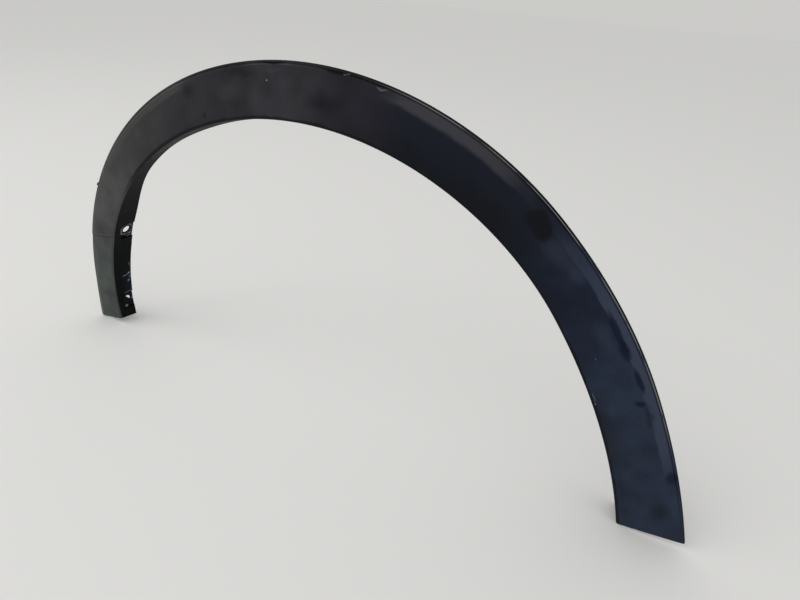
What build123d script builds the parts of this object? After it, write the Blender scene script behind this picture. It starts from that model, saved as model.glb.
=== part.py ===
from build123d import *
import os
from math import atan2, cos, pi, radians, sin, sqrt

# Wheel arch trim: one plastic moulding around a wheel opening.
# It is drawn about the wheel centre, with X along the car, Y into the car and Z up,
# and moved to stand on its feet at the end.

# Inner edge: an arc about the wheel centre, which opens into a wider arc down the right leg
INNER_RADIUS = 374.5
INNER_BREAK = radians(38.1)
INNER_LEG_RADIUS = 766.0

# Outer edge: tangent arcs (radius, sweep) up from the left foot, and the turn of the first outward normal
OUTER_START = Vector(-423.75, 0, -14.0)
OUTER_TURN = radians(173.3)
OUTER_ARCS = [
    (1950.0, radians(2.8)),
    (420.9, radians(120.6)),
    (623.0, radians(19.4)),
    (1077.0, radians(20.0)),
]

# Feet: corners of the two end cuts, outer and inner, with the left cut also sloping back along the flange
LEFT_OUTER = Vector(-423.6, 0, -12.5)
LEFT_INNER = Vector(-374.5, 0, -2.8)
LEFT_CUT_FALL = 5.5
RIGHT_INNER = Vector(422.9, 0, -12.3)
RIGHT_OUTER = Vector(494.75, 0, -3.74)
FOOT_ROUND = 2.5

# Section: wall, corner and the depth of the outer edge behind the inner edge
WALL = 2.6
CORNER = 2.0
FOOT_SETBACK = 1.5
CROWN_SETBACK = 10.3

# Outer border: a sloping band, a fine groove and a chamfered bead, which ease out at the feet
BAND_WIDTH = 12.0
BAND_DROP = 3.0
BAND_DROP_FOOT = 0.5
GROOVE_WIDTH = 1.0
GROOVE_DEPTH = 0.8
GROOVE_DEPTH_FOOT = 0.15
BORDER_RUN = 110.0
BEAD_WIDTH = 2.6
BEAD_HEIGHT = 0.4
BEAD_CHAMFER = 0.7
BEAD_WALL = 1.6

# Return flange: deepens up the legs, then eases to a shallow crown, where it leans towards the wheel
FLANGE_FOOT = 30.0
FLANGE_LEG = 35.7
FLANGE_CROWN = 20.5
FLANGE_RISE_RUN = 130.0
FLANGE_LEG_RUN = 190.0
FLANGE_TAPER_RUN = 127.0
FLANGE_LEAN = 2.7
FLANGE_UPRIGHT_RUN = 350.0
FLANGE_LEAN_RUN = 105.0

# Screw holes (run from the foot, depth) in sunk pads that are open to the flange's rear edge
SCREWS = [(26.0, 20.5), (165.0, 24.0)]
SCREW_DIAMETER = 12.0
PAD_LENGTH = 28.0
PAD_SHIFT = 2.5
PAD_SINK = 1.5
PAD_WALL = 1.6
PAD_AHEAD = 11.5
PAD_CORNER = 7.0

# Web across each foot, below the lower screw hole
WEB_RUN = 18.5
WEB_THICKNESS = 2.0
WEB_FRONT = 1.4
WEB_INTO_WALL = 1.8
WEB_REAR_GAP = 1.0
WEB_REAR_WIDTH = 24.0

# Step across the left leg's face: below this line the face lies a little deeper
STEP_OUTER = Vector(-388.0, 0, 147.5)
STEP_INNER = Vector(-340.5, 0, 157.0)
STEP_DEPTH = 0.8
STEP_REACH = 9.0

# Moulding stub on the outer edge
STUB_RUN = 218.0
STUB_SIZE = (4.5, 2.2, 1.8)

# Clip houses on the hidden back of the face
CLIP_COUNT = 7
CLIP_END_RUN = 95.0
CLIP_LENGTH = 24.0
CLIP_WIDTH = 18.0
CLIP_HEIGHT = 12.0
CLIP_WALL = 2.0
CLIP_SLOT = 7.0
CLIP_SLOT_DEPTH = 15.0

# Runs along the inner edge, from the left foot to the right one
MAIN_RUN = (pi - INNER_BREAK) * INNER_RADIUS
RIGHT_FOOT_TURN = radians(17.4)
FULL_RUN = MAIN_RUN + (INNER_BREAK - RIGHT_FOOT_TURN) * INNER_LEG_RADIUS
OVERRUN = 24.0
STATIONS = 30

INTO_CAR = Vector(0, 1, 0)
FAR = 200.0


def heading(turn):
    return Vector(cos(turn), 0, sin(turn))


def reach(start, direction, centre, radius):
    """Distance from a point inside a circle to the circle, along a direction."""
    offset = start - centre
    along = offset.dot(direction)
    return sqrt(along ** 2 - offset.dot(offset) + radius ** 2) - along


def inner_edge(run):
    """Point of the inner edge at a run from the left foot, and the turn of its outward normal."""
    if run <= MAIN_RUN:
        turn = pi - run / INNER_RADIUS
        return heading(turn) * INNER_RADIUS, turn
    turn = INNER_BREAK - (run - MAIN_RUN) / INNER_LEG_RADIUS
    leg_centre = heading(INNER_BREAK) * (INNER_RADIUS - INNER_LEG_RADIUS)
    return leg_centre + heading(turn) * INNER_LEG_RADIUS, turn


def outer_circles():
    """Centre, radius and last turn of each arc of the outer edge."""
    circles = []
    point = OUTER_START
    turn = OUTER_TURN
    for radius, sweep in OUTER_ARCS:
        centre = point - heading(turn) * radius
        turn = turn - sweep
        point = centre + heading(turn) * radius
        circles.append((centre, radius, turn))
    return circles


def face_width(run):
    """Width of the face, from the inner edge to the outer edge along the normal."""
    start, turn = inner_edge(run)
    normal = heading(turn)
    for centre, radius, last_turn in outer_circles():
        width = reach(start, normal, centre, radius)
        spoke = start + normal * width - centre
        if atan2(spoke.Z, spoke.X) >= last_turn:
            return width
    return width


def setback(run):
    """Depth of the outer edge behind the inner edge: least at the feet, most at the crown."""
    rise = max(sin(pi * run / FULL_RUN), 0)
    return FOOT_SETBACK + (CROWN_SETBACK - FOOT_SETBACK) * rise


def border_share(run):
    """Share of the border's full form: none at the feet, all of it further up."""
    share = max(min(run / BORDER_RUN, (FULL_RUN - run) / BORDER_RUN, 1), 0)
    return share * share * (3 - 2 * share)


def band_drop(run):
    return BAND_DROP_FOOT + (BAND_DROP - BAND_DROP_FOOT) * border_share(run)


def groove_depth(run):
    return GROOVE_DEPTH_FOOT + (GROOVE_DEPTH - GROOVE_DEPTH_FOOT) * border_share(run)


def flange_depth(run):
    """Depth of the return flange: it rises up each leg, then eases to the shallow crown."""
    from_foot = min(run, FULL_RUN - run)
    rise = min(from_foot / FLANGE_RISE_RUN, 1)
    leg_depth = FLANGE_FOOT + (FLANGE_LEG - FLANGE_FOOT) * rise
    share = min(max(from_foot - FLANGE_LEG_RUN, 0) / FLANGE_TAPER_RUN, 1)
    ease = share * share * (3 - 2 * share)
    return leg_depth + (FLANGE_CROWN - leg_depth) * ease


def flange_lean(run):
    """How much nearer to the wheel the flange's rear edge lies than its front: most at the crown."""
    from_foot = min(run, FULL_RUN - run)
    share = min(max(from_foot - FLANGE_UPRIGHT_RUN, 0) / FLANGE_LEAN_RUN, 1)
    return FLANGE_LEAN * share * share * (3 - 2 * share)


def section_plane(run):
    """Plane across the trim: its x points outwards across the face, its y into the car."""
    point, turn = inner_edge(run)
    normal = heading(turn)
    return Plane(point, x_dir=normal, z_dir=normal.cross(INTO_CAR))


def section(run):
    """Closed section of the moulding: flange, rounded corner, face, band, groove and bead."""
    plane = section_plane(run)
    width = face_width(run)
    rim_depth = setback(run)
    flange = flange_depth(run)
    lean = flange_lean(run)
    band_start = width - BAND_WIDTH
    band_depth = rim_depth - band_drop(run)
    band_back = band_depth + WALL
    bead_start = width - BEAD_WIDTH
    groove_start = bead_start - GROOVE_WIDTH
    groove_top = rim_depth - band_drop(run) * (width - groove_start) / BAND_WIDTH
    bead_side = rim_depth + groove_depth(run)
    bead_top = rim_depth - BEAD_HEIGHT
    rim_back = bead_side + BEAD_WALL
    face_middle = (CORNER + band_start) / 2
    middle_depth = band_depth / 4
    middle_back = middle_depth + WALL
    corner_cut = CORNER * (1 - sqrt(0.5))
    inner_corner = WALL + CORNER
    inner_cut = WALL + corner_cut

    def at(out, deep):
        return plane.from_local_coords((out, deep, 0))

    outline = [
        Line(at(-lean, flange), at(0, CORNER)),
        ThreePointArc(at(0, CORNER), at(corner_cut, corner_cut), at(CORNER, 0)),
        ThreePointArc(at(CORNER, 0), at(face_middle, middle_depth), at(band_start, band_depth)),
        Line(at(band_start, band_depth), at(groove_start, groove_top)),
        Line(at(groove_start, groove_top), at(groove_start, bead_side)),
        Line(at(groove_start, bead_side), at(bead_start, bead_side)),
        Line(at(bead_start, bead_side), at(bead_start + BEAD_CHAMFER, bead_top)),
        Line(at(bead_start + BEAD_CHAMFER, bead_top), at(width - BEAD_CHAMFER, bead_top)),
        Line(at(width - BEAD_CHAMFER, bead_top), at(width, bead_side)),
        Line(at(width, bead_side), at(width, rim_back)),
        Line(at(width, rim_back), at(band_start, band_back)),
        ThreePointArc(at(band_start, band_back), at(face_middle, middle_back), at(inner_corner, WALL)),
        ThreePointArc(at(inner_corner, WALL), at(inner_cut, inner_cut), at(WALL, inner_corner)),
        Line(at(WALL, inner_corner), at(WALL - lean, flange)),
        Line(at(WALL - lean, flange), at(-lean, flange)),
    ]
    return make_face(Wire(outline))


def moulded_shell():
    """The bent section, run past both feet."""
    length = FULL_RUN + 2 * OVERRUN
    runs = [length * i / (STATIONS - 1) - OVERRUN for i in range(STATIONS)]
    return loft([section(run) for run in runs])


def block_below(on_line, to_right, fall=0.0):
    """Large block below a line across the trim; its top falls towards the flange's rear."""
    line = (to_right - on_line).normalized()
    slope = Vector(0, FLANGE_FOOT, -fall).normalized()
    plane = Plane(on_line, x_dir=line, z_dir=line.cross(slope))
    return plane * Box(2 * FAR, 2 * FAR, FAR, align=(Align.CENTER, Align.CENTER, Align.MAX))


def foot_corner(corner, along_cut, along_edge):
    """Sliver outside a rounded corner, through the depth of the rim."""
    cut_way = (along_cut - corner).normalized()
    edge_way = (along_edge - corner).normalized()
    opening = radians(cut_way.get_angle(edge_way))
    tangent_run = FOOT_ROUND * cos(opening / 2) / sin(opening / 2)
    bisector = (cut_way + edge_way).normalized()
    arc_middle = corner + bisector * (FOOT_ROUND / sin(opening / 2) - FOOT_ROUND)
    on_cut = corner + cut_way * tangent_run
    on_edge = corner + edge_way * tangent_run
    outside = corner - bisector * FOOT_ROUND
    outline = [
        ThreePointArc(on_cut, arc_middle, on_edge),
        Line(on_edge, outside),
        Line(outside, on_cut),
    ]
    return extrude(make_face(Wire(outline)), FAR, dir=INTO_CAR, both=True)


def rim_point(run):
    point, turn = inner_edge(run)
    return point + heading(turn) * face_width(run)


def flange_plane(run):
    """Plane on the flange's visible side: x along the arch, y into the car, z towards the wheel."""
    point, turn = inner_edge(run)
    inwards = heading(turn) * -1
    return Plane(point, x_dir=INTO_CAR.cross(inwards), z_dir=inwards)


def pad_outline(front, rear, grow):
    """Outline of a pad, open past the flange's rear edge, with round front corners."""
    start = front - grow
    outline = Rectangle(PAD_LENGTH + 2 * grow, rear - start)
    front_corners = outline.vertices().group_by(Axis.Y)[0]
    return Pos(0, (start + rear) / 2) * fillet(front_corners, PAD_CORNER + grow)


def screw_places():
    """Run and depth of each screw hole on both legs, with the side that its foot is on."""
    left = [(run, depth, -1) for run, depth in SCREWS]
    right = [(FULL_RUN - run, depth, 1) for run, depth in SCREWS]
    return left + right


def with_screw_pads(body):
    for run, depth, foot_side in screw_places():
        pad_plane = flange_plane(run + foot_side * PAD_SHIFT)
        front = depth - PAD_AHEAD
        rear = flange_depth(run)
        backing = extrude(pad_outline(front, rear, PAD_WALL), PAD_WALL + PAD_SINK / 2)
        sunk = extrude(pad_outline(front, rear + PAD_SINK, 0), 2 * PAD_SINK)
        hole = Cylinder(SCREW_DIAMETER / 2, 4 * (PAD_SINK + PAD_WALL))
        body = body + pad_plane * Pos(0, 0, -PAD_SINK - PAD_WALL) * backing
        body = body - pad_plane * Pos(0, 0, -PAD_SINK) * sunk
        body = body - flange_plane(run) * Pos(0, depth) * hole
    return body


def with_foot_webs(body):
    """A plate across each foot, from the flange to the middle of the band."""
    for run in (WEB_RUN, FULL_RUN - WEB_RUN):
        width = face_width(run)
        rear = flange_depth(run) - WEB_REAR_GAP
        in_wall = setback(run) - band_drop(run) + WEB_INTO_WALL
        outline = Polyline(
            (WALL / 2, WEB_FRONT),
            (WALL / 2, rear),
            (WEB_REAR_WIDTH, rear),
            (width - BAND_WIDTH / 2, in_wall),
            (width - BAND_WIDTH, in_wall),
            close=True,
        )
        web = extrude(make_face(outline), WEB_THICKNESS / 2, both=True)
        body = body + section_plane(run) * web
    return body


def with_leg_step(body):
    """The left leg's lower face, shifted deeper behind a straight step."""
    in_front = (Align.CENTER, Align.MAX, Align.CENTER)
    front = Pos(STEP_OUTER) * Pos(0, STEP_REACH, 0) * Box(4 * FAR, FAR, 4 * FAR, align=in_front)
    below = block_below(STEP_OUTER, STEP_INNER) & front
    lower = body & below
    return (body - below) + Pos(0, STEP_DEPTH, 0) * lower


def clip_house():
    """Small house for a push-in clip, standing on z = 0 and open at +x, with a slot in its roof."""
    standing = (Align.CENTER, Align.CENTER, Align.MIN)
    from_slot = (Align.MIN, Align.CENTER, Align.CENTER)
    house = Box(CLIP_LENGTH, CLIP_WIDTH, CLIP_HEIGHT, align=standing)
    room = Box(CLIP_LENGTH, CLIP_WIDTH - 2 * CLIP_WALL, CLIP_HEIGHT - CLIP_WALL, align=standing)
    slot_end = Cylinder(CLIP_SLOT / 2, 2 * CLIP_HEIGHT)
    slot_run = Box(CLIP_LENGTH, CLIP_SLOT, 2 * CLIP_HEIGHT, align=from_slot)
    slot_at = CLIP_LENGTH / 2 - CLIP_SLOT_DEPTH + CLIP_SLOT / 2
    slot = Pos(slot_at, 0, CLIP_HEIGHT) * (slot_end + slot_run)
    return house - Pos(CLIP_WALL, 0, 0) * room - slot


def with_clip_houses(body):
    spacing = (FULL_RUN - 2 * CLIP_END_RUN) / (CLIP_COUNT - 1)
    for i in range(CLIP_COUNT):
        run = CLIP_END_RUN + i * spacing
        plane = section_plane(run)
        face_end = face_width(run) - BAND_WIDTH
        fall = setback(run) - band_drop(run)
        base = plane.from_local_coords(((CORNER + face_end) / 2, fall / 4 + WALL / 2, 0))
        across = plane.from_local_coords((face_end - CORNER, fall, 0)) - plane.origin
        seat = Plane(base, x_dir=plane.z_dir, z_dir=plane.z_dir.cross(across))
        body = body + seat * clip_house()
    return body


def with_stub(body):
    plane = section_plane(STUB_RUN)
    depth = setback(STUB_RUN) + groove_depth(STUB_RUN) + BEAD_WALL / 2
    length, height, thickness = STUB_SIZE
    stub = Box(2 * height, thickness, length)
    return body + plane * Pos(face_width(STUB_RUN), depth, 0) * stub


def arch_trim():
    body = moulded_shell()
    body = with_leg_step(body)
    body = with_foot_webs(body)
    body = with_screw_pads(body)
    body = with_clip_houses(body)
    body = with_stub(body)
    body = body - block_below(LEFT_OUTER, LEFT_INNER, LEFT_CUT_FALL)
    body = body - block_below(RIGHT_INNER, RIGHT_OUTER)
    left_rim = rim_point(OVERRUN)
    right_rim = rim_point(FULL_RUN - OVERRUN)
    right_inner, _ = inner_edge(FULL_RUN - FAR)
    body = body - foot_corner(LEFT_OUTER, LEFT_INNER, left_rim)
    body = body - foot_corner(RIGHT_OUTER, RIGHT_INNER, right_rim)
    body = body - foot_corner(RIGHT_INNER, RIGHT_OUTER, right_inner)
    return body


def on_its_feet(body):
    box = body.bounding_box()
    centre = box.center()
    return Pos(-centre.X, -centre.Y, -box.min.Z) * body


os.makedirs("parts", exist_ok=True)
export_step(on_its_feet(arch_trim()), "parts/arch_trim.step")
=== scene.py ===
from math import atan2, cos, pi, radians, sin, sqrt, tan

import bmesh
import bpy
from mathutils import Matrix, Vector


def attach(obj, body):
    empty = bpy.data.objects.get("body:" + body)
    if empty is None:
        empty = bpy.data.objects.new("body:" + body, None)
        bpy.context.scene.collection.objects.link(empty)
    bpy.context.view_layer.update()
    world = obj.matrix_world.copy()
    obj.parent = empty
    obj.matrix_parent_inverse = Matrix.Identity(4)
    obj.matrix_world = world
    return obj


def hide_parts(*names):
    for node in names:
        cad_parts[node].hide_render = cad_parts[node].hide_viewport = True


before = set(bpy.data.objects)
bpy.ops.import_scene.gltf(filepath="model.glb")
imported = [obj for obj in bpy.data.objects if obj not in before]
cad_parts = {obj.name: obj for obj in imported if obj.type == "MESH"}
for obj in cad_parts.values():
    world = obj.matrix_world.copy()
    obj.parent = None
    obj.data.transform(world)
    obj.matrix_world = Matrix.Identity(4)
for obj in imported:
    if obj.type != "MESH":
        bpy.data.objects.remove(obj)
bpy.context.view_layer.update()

# The trim is modelled in millimetres about the wheel centre and moved into the part's frame at the end.
# X runs along the car, Y into the car, Z up.
WHEEL_CENTRE = Vector((-0.0348852, -0.0180189, 0.0130809))
MILLIMETRE = 0.001

# Inner edge: an arc about the wheel centre, which opens into a wider arc down the right leg
INNER_RADIUS = 374.5
INNER_BREAK = radians(38.1)
INNER_LEG_RADIUS = 766.0

# Outer edge: tangent arcs (radius, sweep) up from the left foot, and the turn of the first normal
OUTER_START = Vector((-423.75, 0, -14.0))
OUTER_TURN = radians(173.3)
OUTER_ARCS = [
    (1950.0, radians(2.8)),
    (420.9, radians(120.6)),
    (623.0, radians(19.4)),
    (1077.0, radians(20.0)),
]

# Feet: outer and inner corners of the two end cuts. The left cut also falls towards the flange's rear.
LEFT_OUTER = Vector((-423.6, 0, -12.5))
LEFT_INNER = Vector((-374.5, 0, -2.8))
LEFT_CUT_FALL = 5.5
RIGHT_INNER = Vector((422.9, 0, -12.3))
RIGHT_OUTER = Vector((494.75, 0, -3.74))
FOOT_ROUND = 2.5
CORNER_SIGHT = 200.0

# Section: wall, corner and the depth of the outer edge behind the inner edge
WALL = 2.6
CORNER = 2.0
FOOT_SETBACK = 1.5
CROWN_SETBACK = 10.3

# Outer border: a sloping band, a fine groove and a rounded bead, which ease out at the feet
BAND_WIDTH = 12.0
BAND_DROP = 3.0
BAND_DROP_FOOT = 0.5
GROOVE_WIDTH = 1.0
GROOVE_DEPTH = 0.8
GROOVE_DEPTH_FOOT = 0.15
BORDER_RUN = 110.0
BEAD_WIDTH = 2.6
BEAD_HEIGHT = 0.4
BEAD_WALL = 1.6

# Return flange: deepens up the legs, then eases to a shallow crown, where it leans towards the wheel
FLANGE_FOOT = 30.0
FLANGE_LEG = 35.7
FLANGE_CROWN = 20.5
FLANGE_RISE_RUN = 130.0
FLANGE_LEG_RUN = 190.0
FLANGE_TAPER_RUN = 127.0
FLANGE_LEAN = 2.7
FLANGE_UPRIGHT_RUN = 350.0
FLANGE_LEAN_RUN = 105.0

# Screw holes (run from the foot, depth) in sunk pads that are open to the flange's rear edge
SCREWS = [(26.0, 20.5), (165.0, 24.0)]
SCREW_DIAMETER = 12.0
PAD_LENGTH = 28.0
PAD_SHIFT = 2.5
PAD_SINK = 1.5
PAD_WALL = 1.6
PAD_AHEAD = 11.5
PAD_CORNER = 7.0

# Web across each foot, below the lower screw hole. It is a guessed dark plate that stands in for the
# shade seen through the hole.
SHADE_WEB_RUN = 18.5
SHADE_WEB_THICKNESS = 2.0
SHADE_WEB_FRONT = 1.4
SHADE_WEB_INTO_WALL = 1.8
SHADE_WEB_REAR_GAP = 1.0
SHADE_WEB_REAR_WIDTH = 24.0

# Step across the left leg's face: below this line the face lies a little deeper
STEP_OUTER = Vector((-388.0, 0, 147.5))
STEP_INNER = Vector((-340.5, 0, 157.0))
STEP_DEPTH = 0.8
STEP_RAMP = 0.5
STEP_REACH = 9.0

# Moulding stub on the outer edge
STUB_RUN = 218.0
STUB_SIZE = (4.5, 2.2, 1.8)

# Clip houses on the back of the face
CLIP_COUNT = 7
CLIP_END_RUN = 95.0
CLIP_LENGTH = 24.0
CLIP_WIDTH = 18.0
CLIP_HEIGHT = 12.0
CLIP_WALL = 2.0
CLIP_SLOT = 7.0
CLIP_SLOT_DEPTH = 15.0

# Runs along the inner edge, from the left foot to the right one
MAIN_RUN = (pi - INNER_BREAK) * INNER_RADIUS
RIGHT_FOOT_TURN = radians(17.4)
FULL_RUN = MAIN_RUN + (INNER_BREAK - RIGHT_FOOT_TURN) * INNER_LEG_RADIUS
OVERRUN = 24.0
STATION_STEP = 5.0

# Softening of moulded edges
EDGE_ROUND = 0.3
EDGE_SEGMENTS = 2
SHARP_ANGLE = radians(40)

# Fineness of rounded corners and holes, and the rounding of a clip slot's end in half widths
ROUND_SPANS = 8
HOLE_SIDES = 48
SLOT_END_SHARE = 0.98

# How near to a cut a point counts as on it: while cutting, at the step and at the open rim of a foot
CUT_NEAR = 1e-4
STEP_NEAR = 1e-3
RIM_NEAR = 1e-2

INTO_CAR = Vector((0, 1, 0))

# Maps of the surface: run and distance from the rim, and the place in the section
ALONG_MAP = "along_trim"
ACROSS_MAP = "across_trim"

# Spans of the section's outline, from the flange's rear edge round the front to the back
FLANGE_SPANS = 7
CORNER_SPANS = 6
FACE_SPANS = 12
BAND_SPANS = 3
SIDE_SPANS = 1
GROOVE_SPANS = 6
BEAD_SPANS = 10
BACK_SPANS = 8
BACK_CORNER_SPANS = 4
FLANGE_BACK_SPANS = 5

# Material slots, and the points of the outline that lie on the grained face and on the back
GRAINED = 0
PLAIN = 1
BACK = 2
BORDER_SPANS = BAND_SPANS + SIDE_SPANS + GROOVE_SPANS + BEAD_SPANS + SIDE_SPANS
FACE_END = FLANGE_SPANS + CORNER_SPANS + FACE_SPANS + BORDER_SPANS
OUTLINE_END = FACE_END + BAND_SPANS + BACK_SPANS + BACK_CORNER_SPANS + FLANGE_BACK_SPANS + 1
FACE_SPOTS = range(FLANGE_SPANS, FACE_END)
BACK_SPOTS = range(FACE_END, OUTLINE_END)

# Tones of the face along its run, in metres: where each starts, where it is full, and its colour
# Each tone is partly the plastic's own and partly painted light: painted sheen lightens the left leg to
# grey, and painted dark reflection darkens the right leg to navy.
LEFT_GREY_WITH_SHEEN = (0.0526, 0.0526, 0.0530, 1)
LOWER_LEFT_GREY_WITH_SHEEN = (0.0585, 0.0680, 0.0635, 1)
FACE_TONES_WITH_PAINTED_LIGHT = [
    (0.25, 0.36, (0.0280, 0.0278, 0.0305, 1)),
    (0.37, 0.43, (0.0200, 0.0195, 0.0240, 1)),
    (0.50, 0.56, (0.0245, 0.0240, 0.0295, 1)),
    (0.58, 0.64, (0.0123, 0.0116, 0.0180, 1)),
    (0.66, 0.71, (0.0024, 0.0043, 0.0090, 1)),
    (0.82, 0.91, (0.0082, 0.0138, 0.0320, 1)),
    (0.95, 1.03, (0.0152, 0.0243, 0.0475, 1)),
]

# What lies on the plastic, and the tones of the plain inside. The grease also serves as painted shade,
# and the worn grey as painted highlights.
GREASE_AND_SHADE = (0.0015, 0.0023, 0.0052, 1)
NAVY_GREASE = (0.0003, 0.0035, 0.0200, 1)
BAND_GREY = (0.042, 0.042, 0.051, 1)
BAND_BLUE = (0.036, 0.046, 0.078, 1)
OLIVE_DUST = (0.051, 0.054, 0.050, 1)
WORN_GREY_AND_HIGHLIGHT = (0.17, 0.17, 0.175, 1)
SHOULDER_NAVY = (0.0065, 0.0090, 0.0195, 1)
CHALK = (0.42, 0.43, 0.50, 1)
INSIDE_BLACK = (0.0015, 0.0018, 0.0022, 1)
INSIDE_GREY = (0.0040, 0.0044, 0.0052, 1)
INSIDE_DUST = (0.030, 0.031, 0.034, 1)
INSIDE_BLUE = (0.006, 0.0085, 0.020, 1)
BACK_BLACK = (0.014, 0.0145, 0.016, 1)
BACK_GREY = (0.030, 0.031, 0.034, 1)
BACK_DUST = (0.085, 0.082, 0.076, 1)

# Marks on the face: run, distance from the inner edge, half length and half width
GREASY_MARKS = [
    (833, 42, 12, 12),
    (841, 41, 13, 11),
    (848, 38, 11, 9),
]
GREASY_STREAKS = [(552, 54.5, 26, 1.8), (620, 54, 16, 2.0), (459, 11, 1.8, 3.4)]
NAVY_MARKS = [(1036, 47.5, 6.0, 7.5), (1127, 59, 13, 8.0)]
NAVY_STREAKS = [(955, 49.5, 30, 4.2), (978, 49.0, 15, 6.5), (1011, 52, 20, 3.8)]
DARK_CLOUDS = [
    (1176, 46, 24, 16),
    (1052, 51, 24, 6),
    (610, 24, 30, 14),
    (520, 46, 26, 9),
    (444, 43, 14, 12),
]
HAZY_PATCHES = [(868, 38, 26, 17), (893, 40, 18, 10), (960, 36, 30, 13)]
CROWN_PATCHES = [(687, 51, 12, 4), (557, 47.5, 16, 3), (500, 28, 26, 12)]
SCUFFS = [
    (631, 55.5, 6, 1.2),
    (664, 54.5, 7, 1.3),
    (8, 6, 6, 1.6),
    (1024, 3.8, 9, 0.9),
    (978, 21, 1.4, 0.9),
]
SPECKS = [(548, 38.1, 0.8, 0.8), (1031, 3.6, 1.2, 0.8)]

# Marks on the flange: run, depth, half length and half depth
BLUE_SHEENS = [(52, 30, 46, 16)]
CROWN_DUST = [(385, 11, 105, 15)]
PAD_SCUFFS = [
    (175, 33, 2.0, 5.0),
    (166, 12.4, 9.0, 1.3),
    (14, 17.5, 3.5, 3.5),
    (24, 29.5, 3.0, 2.5),
]
CHALK_STREAKS = [(73, 23, 1.5, 10.0), (61, 27, 3.0, 3.0), (92, 31, 6.0, 1.4)]
CHALK_SCUFFS = [
    (155.5, 30.5, 2.6, 3.6),
    (150.5, 29, 1.3, 6.0),
    (75, 29.5, 2.2, 3.4),
    (67, 30.5, 3.0, 1.8),
]
PAD_LINES = [(39.6, 24, 1.2, 11.0)]
WASHER_PRINT = 10.5

# Depth of the marks on the face, and how far marks reach through the face and through the flange
FACE_MARK_DEPTH = 5
FACE_MARK_REACH = 20
FLANGE_MARK_REACH = 8

# Where the edge of each kind of mark is full, as a share of its size, and the share of colour it lays
HAZE_FULL = 0.2
HAZE_SHARE = 0.35
PATCH_FULL = 0.2
PATCH_SHARE = 0.4
CLOUD_FULL = 0.1
CLOUD_SHARE = 0.55
GREASE_FULL = 0.5
NAVY_FULL = 0.4
SMUDGE_SHARE = 0.9
SCUFF_FULL = 0.3
SCUFF_SHARE = 0.5
SPECK_FULL = 0.6
SPECK_SHARE = 0.8
SHEEN_FULL = 0.1
CROWN_DUST_FULL = 0.2
CROWN_DUST_SHARE = 0.7
PAD_SCUFF_FULL = 0.4
PAD_LINE_FULL = 0.2
PAD_LINE_SHARE = 0.7
CHALK_FULL = 0.1
CHALK_STREAK_SHARE = 0.5
CHALK_SCUFF_SHARE = 0.6
WASHER_RING = (0.88, 0.98, 0.08)

# Sockets of a Mix node that take and give colours
MIX_UNDER = 6
MIX_OVER = 7
MIX_RESULT = 2

# Noise: its middle and make-up, then the size of each kind of patch in metres and a seed
NOISE_MIDDLE = 0.5
NOISE_DETAIL = 3.0
MOTTLE_ROUGHNESS = 0.55
SHAKE_ROUGHNESS = 0.6
FACE_BROAD = (0.085, 5.0)
FACE_MIDDLING = (0.042, 10.0)
FACE_SMALL = (0.022, 6.0)
FACE_STREAKY = (0.006, 7.0)
STREAK_STRETCH = 0.25
INSIDE_BROAD = (0.05, 8.0)
INSIDE_SMALL = (0.012, 9.0)
BACK_BROAD = (0.06, 13.0)
BACK_SMALL = (0.010, 14.0)

# Shakes that make marks uneven: size of the noise and length of the push in metres, and a seed
FACE_SHAKE = (0.020, 0.014, 3.0)
FACE_WAVER = (0.030, 0.006, 12.0)
INSIDE_SHAKE = (0.008, 0.006, 4.0)
INSIDE_WAVER = (0.010, 0.003, 11.0)

# Tones of the face. Pairs say where a share starts and where it is full: along the run, from the inner
# edge, from the rim or below the step, in metres.
STEP_LEG = (0.24, 0.20)
GREEN_AT_STEP = (-0.0005, 0.0005)
GREEN_AT_STEP_SHARE = 0.45
GREEN_BELOW_STEP = (0, 0.05)
GREEN_BELOW_STEP_SHARE = 0.55
RUN_RAGGED_BROAD = 0.05
RUN_RAGGED_SMALL = 0.03
CLOUDS_BROAD = 1.3
CLOUDS_MIDDLING = 1.2
CLOUDS_SMALL = 0.9
INNER_SHADE = 0.2
INNER_SHADE_OUT = (0.020, 0.006)
INNER_SHADE_RUN = (0.60, 0.70)

# Dust on the face. Triples are stripes: start, end and soft width. The bands along the rim have a reach
# from it, a start and an end along the run, and a colour.
SHOULDER_OUT = (0.012, 0.040)
SHOULDER_RUN = (0.69, 0.86, 0.04)
SHOULDER_SHARE = 0.7
RIM_RAGGED_SMALL = 0.006
RIM_RAGGED_STREAKY = 0.003
RIM_BANDS = [
    ((0.0160, 0.0105), (0.655, 0.70), (0.84, 0.76), BAND_GREY),
    ((0.0140, 0.0118), (0.83, 0.94), (1.14, 1.08), BAND_BLUE),
]
OLIVE_RUN = (0.29, 0.42, 0.04)
OLIVE_FROM_RIM = (0.0120, 0.0085)
OLIVE_SHARE = 0.8

# Lines along the step, the inner edge, the groove and the bead, all painted light and shade: highlight
# and shadow lines at the step, shade at the inner edge, light in the groove against its shade, shade on
# the bead's outer side and highlights along its top
STEP_HIGHLIGHT = (-0.0020, -0.0010, 0.0006)
STEP_HIGHLIGHT_SHARE = 0.12
STEP_SHADE = (0.0004, 0.0014, 0.0008)
STEP_SHADE_SHARE = 0.5
INNER_EDGE_SHADE_OUT = (0.0046, 0.0026)
INNER_EDGE_SHADE_RUN = (0.22, 0.32)
INNER_EDGE_SHADE_SHARE = 0.85
INNER_EDGE_SHADE_RAGGED = 0.006
INNER_EDGE_SHADE_RAGGED_RUN = (0.40, 0.50)
GROOVE_LIGHTENING = (0.0026, 0.0036, 0.0004)
GROOVE_LIGHTENING_RUN = (0.64, 0.56)
GROOVE_LIGHTENING_GAIN = 2.5
BEAD_OUTSIDE = (0.0013, 0.0008)
BEAD_DARK_RUN = (0.24, 0.30)
BEAD_DARK_SHARE = 0.4
BEAD_DARKER_RUN = (0.58, 0.66)
BEAD_DARKER_SHARE = 0.5
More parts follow.
